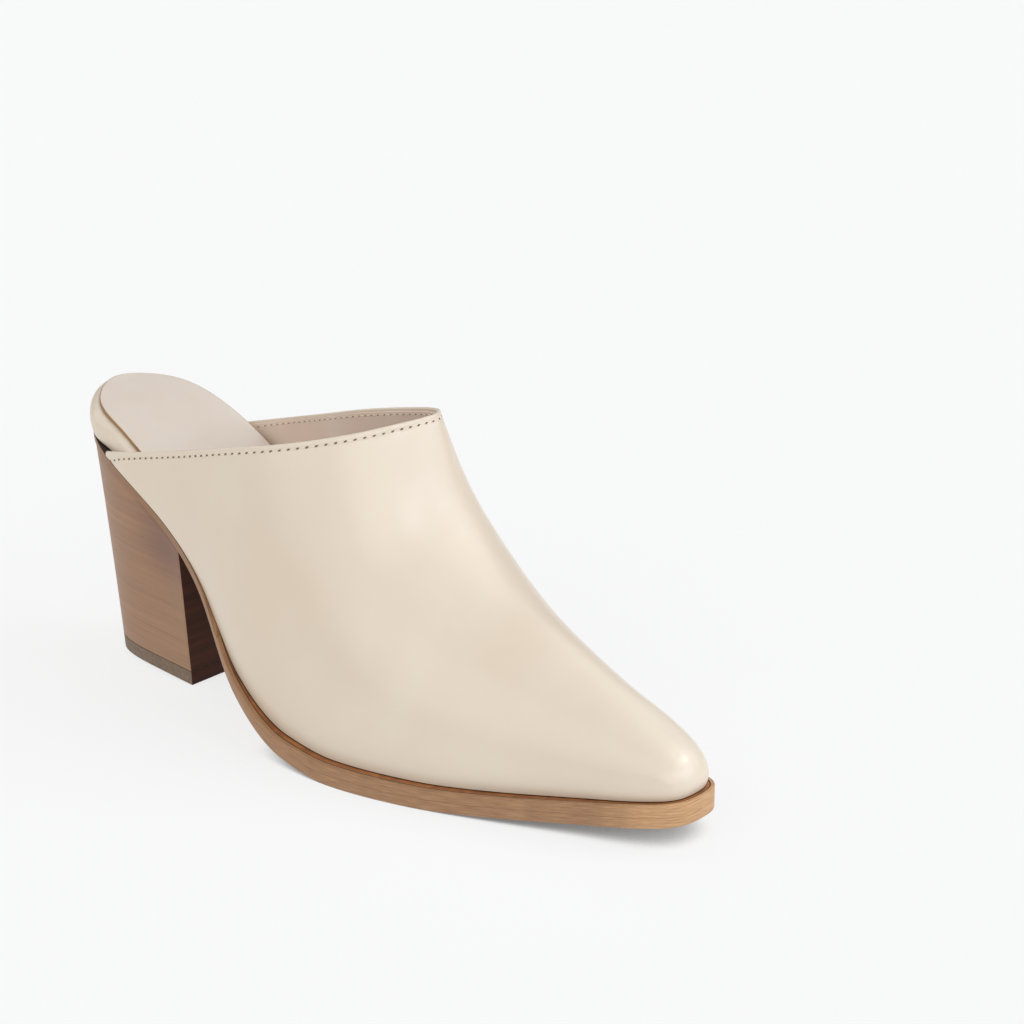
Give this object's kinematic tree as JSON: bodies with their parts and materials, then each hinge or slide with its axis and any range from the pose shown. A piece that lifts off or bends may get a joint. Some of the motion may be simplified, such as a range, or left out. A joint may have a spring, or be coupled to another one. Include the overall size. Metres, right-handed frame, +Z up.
{
  "type": "heeled mule",
  "caption": "Backless leather mule for the right foot: closed pointed toe, high vamp with a slanted topline, leather sole with a ledge, block heel.",
  "frame": {"origin": "middle of the bounding box in plan, on the floor that the shoe stands on", "axes": "+X from the heel to the toe, +Y towards the inner side of the foot, +Z up; a right shoe"},
  "size_m": [0.2534, 0.0806, 0.1055],
  "materials": {
    "cream_leather": "smooth, semi-gloss",
    "sole_leather_upper": "cut and waxed edge, tan",
    "sole_leather_lower": "cut and waxed edge, tan",
    "rim_leather": "smooth, semi-gloss",
    "liner_leather": "unfinished liner, matt",
    "stacked_leather": "thin stacked layers, satin",
    "lift_rubber": "matt"
  },
  "bodies": {
    "root": {"upper": "cream_leather", "midsole": "sole_leather_upper", "outsole": "sole_leather_lower", "insole": "rim_leather", "sock": "liner_leather", "heel_block": "stacked_leather", "top_lift": "lift_rubber"}
  },
  "joints": []
}
